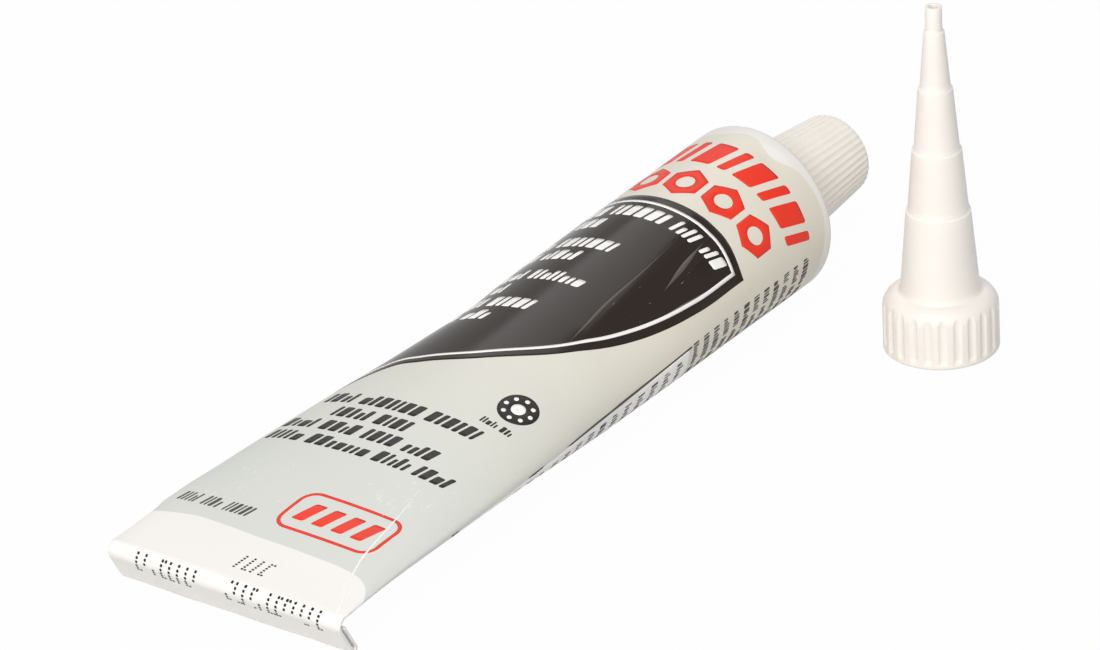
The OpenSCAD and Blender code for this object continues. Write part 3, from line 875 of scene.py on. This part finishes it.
def makeCap():
    # Profile turned about the head's axis: closed end, ribbed side, rim and threaded bore
    c = cap
    low = shoulderAt(c["baseRadius"] - c["rim"]) + c["seat"]
    top = low + c["length"]
    n = c["ribs"] * c["ribColumns"]
    a = 2 * np.pi * np.arange(n) / n
    arc = np.radians(np.linspace(90, 0, 9))
    endR = np.concatenate([[0.6, 1.2, 1.5, 3.5], c["endRadius"] - c["edge"] * (1 - np.cos(arc))])
    endZ = np.concatenate([[top - 0.25, top - 0.25, top - 0.02, top], top - c["edge"] * (1 - np.sin(arc))])
    sideZ = np.concatenate([
        np.linspace(endZ[-1] - 0.15, low + 1.0, 40), np.linspace(low + 0.9, low + 0.05, 12)])
    sideR = c["baseRadius"] + (c["endRadius"] - c["baseRadius"]) * (sideZ - low) / c["length"]
    seatR = c["baseRadius"] - c["rim"]
    inR = np.array([c["baseRadius"] - 0.12, c["baseRadius"] - 0.3, seatR, seatR - 0.1,
                    0.5 * (seatR + c["bore"]), c["bore"] + 0.12, c["bore"]])
    inZ = np.array([low, low, low, low + 0.04, 0, 0, 0])
    inZ[4:] = shoulderAt(inR[4:]) + c["seat"] + np.array([0, 0, 0.12])
    boreTop = headTop() + c["boreSpare"]
    boreZ = np.linspace(inZ[-1] + 0.3, boreTop - 0.3, 36)
    boreR = np.full(len(boreZ), c["bore"])
    floorR, floorZ = np.array([c["bore"], c["bore"] - 0.3, 3.0, 0.6]), np.full(4, boreTop)
    floorZ[0] -= 0.15
    radius = np.concatenate([endR, sideR, inR, boreR, floorR])
    axial = np.concatenate([endZ, sideZ, inZ, boreZ, floorZ])
    # Ribs: soft waves along the side that die away at the rounded edge and just above the rim
    rib = c["ribHeight"] * (0.5 + 0.5 * np.cos(a * c["ribs"]))[None, :] ** 1.8
    rows = np.arange(len(radius))
    outside = (rows >= 5) & (rows < len(endR) + len(sideR))
    fade = smooth(low + 0.02, low + 0.45, axial) * (1 - smooth(top - 0.5, top - 0.05, axial)) * outside
    boreRows = (rows >= len(endR) + len(sideR) + len(inR)) & (rows < len(radius) - 4)
    turns = axial[:, None] / tube["threadPitch"] - a[None, :] / (2 * np.pi)
    groove = smooth(0.3, 0.8, 0.5 + 0.5 * np.cos(2 * np.pi * turns)) * boreRows[:, None]
    radius = radius[:, None] + rib * fade[:, None] + c["groove"] * groove
    points = headAt(axial[:, None], radius, a[None, :]).reshape(-1, 3)
    ends = headAt(np.array([top - 0.25, boreTop]), np.zeros(2), np.zeros(2))
    quads = gridQuads(len(axial), n, closed=True)[:, ::-1]
    k = np.arange(n)
    lastRow = (len(axial) - 1) * n
    fans = [(int(p), int(q), len(points)) for p, q in zip(k, np.roll(k, -1))]
    fans += [(lastRow + int(q), lastRow + int(p), len(points) + 1) for p, q in zip(k, np.roll(k, -1))]
    allPoints = np.concatenate([points, ends]) * mm + tailPlace
    piece = makePiece("ribbed_cap", allPoints, quads, fans, material=capPlastic, body="cap")
    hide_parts("screw_cap")
    return piece


capPiece = makeCap()
print("cap:", len(capPiece.data.polygons), "faces")


# Nozzle

nozzle = dict(
    collarRadius=8.95, collarHeight=7.0, collarEdge=2.6, footEdge=0.4,
    flutes=24, fluteColumns=20, fluteDepth=0.35, fluteRadius=0.85, fluteFrom=1.0,
    coneRadius=6.1, coneFrom=10.2, firstStep=23.1, stepHeight=10.2, stepIn=0.28, steps=4,
    tipRadius=1.3, tipLength=4.0, outlet=0.7, socket=5.65, socketDepth=9.4, groove=0.35, channel=3.9,
)


def makeNozzle():
    # Profile turned about a vertical axis: foot, fluted collar, stepped cone, outlet, channel and
    # threaded socket
    p = nozzle
    height = (nozzleHigh.z - nozzleLow.z) / mm
    coneTop = height - p["tipLength"]
    fall = (p["coneRadius"] - p["tipRadius"] - p["steps"] * p["stepIn"]) / (coneTop - p["coneFrom"])
    n = p["flutes"] * p["fluteColumns"]
    a = 2 * np.pi * np.arange(n) / n
    foot = np.array([[p["socket"] + 0.4, 0], [7.6, 0], [p["collarRadius"] - p["footEdge"], 0]])
    chamfer = np.radians(np.linspace(20, 90, 5))
    edge = np.stack([
        p["collarRadius"] - p["footEdge"] * (1 - np.sin(chamfer)),
        p["footEdge"] * (1 - np.cos(chamfer))], -1)
    wallZ = np.linspace(0.55, p["collarHeight"], 22)
    wall = np.stack([np.full(22, p["collarRadius"]), wallZ], -1)
    swing = np.radians(np.linspace(6, 88, 16))
    brow = np.stack([
        p["collarRadius"] - p["collarEdge"] * (1 - np.cos(swing)),
        p["collarHeight"] + p["collarEdge"] * np.sin(swing)], -1)
    cone = [[p["coneRadius"] + 0.12, p["coneFrom"] - 0.25], [p["coneRadius"], p["coneFrom"] + 0.1]]
    ends = [p["firstStep"] + k * p["stepHeight"] for k in range(p["steps"] - 1)] + [coneTop]
    start = p["coneFrom"] + 0.4
    for k, end in enumerate(ends):
        z = np.linspace(start, end - 0.12, 9)
        r = p["coneRadius"] - fall * (z - p["coneFrom"]) - p["stepIn"] * k
        cone += np.stack([r, z], -1).tolist()
        cone += [[r[-1] - 0.02, end - 0.05], [r[-1] - 0.07, end],
                 [r[-1] - p["stepIn"] + 0.03, end + 0.03]]
        start = end + 0.1
    tipR, out = p["tipRadius"], p["outlet"]
    tip = [[tipR + 0.02, coneTop + 0.1], [tipR, coneTop + 0.4], [tipR, coneTop + 2.0],
           [tipR, height - 0.15], [tipR - 0.05, height - 0.04], [tipR - 0.15, height],
           [out + 0.1, height], [out + 0.02, height - 0.04], [out, height - 0.15]]
    channelZ = np.linspace(coneTop - 1.0, p["socketDepth"] + 0.2, 10)
    channelR = out + (p["channel"] - out) * (coneTop - channelZ) / (coneTop - p["socketDepth"])
    channel = np.stack([channelR, channelZ], -1)
    seat = [[p["channel"], p["socketDepth"]], [p["socket"] - 0.15, p["socketDepth"]],
            [p["socket"], p["socketDepth"] - 0.1]]
    socketZ = np.linspace(p["socketDepth"] - 0.4, 0.5, 34)
    socket = np.stack([np.full(34, p["socket"]), socketZ], -1)
    lead = [[p["socket"] + 0.05, 0.25], [p["socket"] + 0.2, 0.08]]
    profile = np.concatenate([foot, edge, wall, brow, cone, tip, channel, seat, socket, lead])
    radius, z = profile[:, :1], profile[:, 1:]
    # Flutes: round cuts up the collar, from just above the foot through the rounded shoulder
    away = np.abs((a * p["flutes"] / (2 * np.pi)) % 1 - 0.5)[None, :]
    away = away * 2 * np.pi / p["flutes"] * p["collarRadius"]
    bite = np.sqrt(np.clip(p["fluteRadius"] ** 2 - away ** 2, 0, None))
    cut = p["collarRadius"] + p["fluteRadius"] - p["fluteDepth"] - bite
    rows = np.arange(len(profile))[:, None]
    outside = (rows >= 3) & (rows < len(foot) + len(edge) + len(wall) + len(brow))
    share = smooth(p["fluteFrom"] - 0.15, p["fluteFrom"] + 0.25, z)
    radius = np.where(outside & (cut < radius), radius + (cut - radius) * share, radius)
    inSocket = rows >= len(profile) - len(socket) - len(lead)
    turns = z / tube["threadPitch"] - a[None, :] / (2 * np.pi)
    groove = smooth(0.3, 0.8, 0.5 + 0.5 * np.cos(2 * np.pi * turns)) * inSocket
    radius = radius + p["groove"] * groove * smooth(0.6, 1.4, z) * (1 - smooth(8.2, 9.0, z))
    x, y = radius * np.cos(a)[None, :], radius * np.sin(a)[None, :]
    points = np.stack([x, y, np.broadcast_to(z, x.shape)], -1).reshape(-1, 3)
    centre = np.array([(nozzleLow.x + nozzleHigh.x) / 2, (nozzleLow.y + nozzleHigh.y) / 2, 0])
    quads = gridQuads(len(profile), n, closed=True)
    k = np.arange(n)
    last = (len(profile) - 1) * n
    join = np.stack([last + k, last + np.roll(k, -1), np.roll(k, -1), k], -1)
    piece = makePiece("stepped_nozzle", points * mm + centre, np.concatenate([quads, join]),
                      material=nozzlePlastic, body="tube")
    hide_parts("nozzle")
    return piece


nozzlePiece = makeNozzle()
print("nozzle:", len(nozzlePiece.data.polygons), "faces")


# Studio

# The eye is measured from the tail's bend on the tube's centre line, the softboxes along the camera's
# right, up and back
studio = dict(
    eye=(-989.173, -859.870, 694.454), yaw=51.1633, pitch=26.3340, roll=-2.5186, lens=332.28, sensor=36.0,
    worldStrength=0.4, floorWhite=0.98, floorTone=0.62,
    key=dict(toward=(-0.05, 0.95, -0.29), distance=1.2, size=0.54, power=1.5),
    fill=dict(toward=(-0.17, 0.19, 0.96), distance=1.4, size=1.0, power=15.9),
    side=dict(toward=(-0.85, -0.20, 0.50), distance=1.4, size=0.8, power=2.6),
)


def standAt(thing, right, up, back, at):
    # Turns the object so that its own axes lie along right, up and back, and puts it at a place
    pose = np.eye(4)
    pose[:3, 0], pose[:3, 1], pose[:3, 2], pose[:3, 3] = right, up, back, at
    thing.matrix_world = Matrix(pose.tolist())


def makeCamera():
    # Camera from its eye and its three angles; returns its right, up and back
    s = studio
    yaw, pitch, roll = np.radians([s["yaw"], s["pitch"], s["roll"]])
    ahead = np.array([np.sin(yaw) * np.cos(pitch), np.cos(yaw) * np.cos(pitch), -np.sin(pitch)])
    right = np.array([np.cos(yaw), -np.sin(yaw), 0.0])
    up = np.cross(right, ahead)
    turnedRight = np.cos(roll) * right + np.sin(roll) * up
    turnedUp = np.cos(roll) * up - np.sin(roll) * right
    data = bpy.data.cameras.new("studioCamera")
    data.lens, data.sensor_width = s["lens"], s["sensor"]
    data.clip_start, data.clip_end = 0.05, 50.0
    camera = bpy.data.objects.new("studioCamera", data)
    bpy.context.scene.collection.objects.link(camera)
    standAt(camera, turnedRight, turnedUp, -ahead, np.array(s["eye"]) * mm + tailPlace)
    bpy.context.scene.camera = camera
    return turnedRight, turnedUp, -ahead


cameraRight, cameraUp, cameraBack = makeCamera()


def softbox(name, toward, distance, size, power):
    # Square area light that faces the origin from a direction along the camera's right, up and back
    data = bpy.data.lights.new(name, "AREA")
    data.energy, data.size, data.shape = power, size, "SQUARE"
    lamp = bpy.data.objects.new(name, data)
    bpy.context.scene.collection.objects.link(lamp)
    back = toward[0] * cameraRight + toward[1] * cameraUp + toward[2] * cameraBack
    back /= np.linalg.norm(back)
    side = np.cross(cameraBack, back)
    side /= np.linalg.norm(side)
    standAt(lamp, side, np.cross(back, side), back, back * distance)


def seenDirectly(nodes, links):
    # 1 for what the camera sees itself, through glass or in a reflection
    path = nodes.new("ShaderNodeLightPath")
    seen = path.outputs["Is Camera Ray"]
    for label in ("Is Transmission Ray", "Is Glossy Ray"):
        seen = mathNode(nodes, links, "MAXIMUM", seen, path.outputs[label])
    return seen


def makeStudio():
    # Softboxes, white world and pale floor, which both show white where the camera sees them
    softbox("keySoftbox", **studio["key"])
    softbox("fillSoftbox", **studio["fill"])
    softbox("sideSoftbox", **studio["side"])

    world = bpy.data.worlds.new("studioWorld")
    bpy.context.scene.world = world
    world.use_nodes = True
    nodes, links = world.node_tree.nodes, world.node_tree.links
    nodes.clear()
    out = nodes.new("ShaderNodeOutputWorld")
    back = nodes.new("ShaderNodeBackground")
    strength = rampNode(nodes, links, seenDirectly(nodes, links), 0.0, 1.0, studio["worldStrength"], 1.0)
    links.new(strength, back.inputs["Strength"])
    back.inputs["Color"].default_value = (1.0, 1.0, 1.0, 1.0)
    links.new(back.outputs[0], out.inputs[0])

    mesh = bpy.data.meshes.new("floor")
    side, low = 6.0, -0.00005
    mesh.from_pydata([(-side, -side, low), (side, -side, low), (side, side, low), (-side, side, low)],
                     [], [(0, 1, 2, 3)])
    floor = bpy.data.objects.new("floor", mesh)
    bpy.context.scene.collection.objects.link(floor)
    material = bpy.data.materials.new("paleFloor")
    material.use_nodes = True
    nodes, links = material.node_tree.nodes, material.node_tree.links
    nodes.clear()
    out = nodes.new("ShaderNodeOutputMaterial")
    matte, glow = nodes.new("ShaderNodeBsdfDiffuse"), nodes.new("ShaderNodeEmission")
    mix = nodes.new("ShaderNodeMixShader")
    matte.inputs["Color"].default_value = (*[studio["floorTone"]] * 3, 1)
    white = mathNode(nodes, links, "MULTIPLY", seenDirectly(nodes, links), studio["floorWhite"])
    links.new(white, mix.inputs[0])
    links.new(matte.outputs[0], mix.inputs[1])
    links.new(glow.outputs[0], mix.inputs[2])
    links.new(mix.outputs[0], out.inputs[0])
    mesh.materials.append(material)
    bpy.context.scene.view_settings.view_transform = "Standard"


makeStudio()
print("studio made")
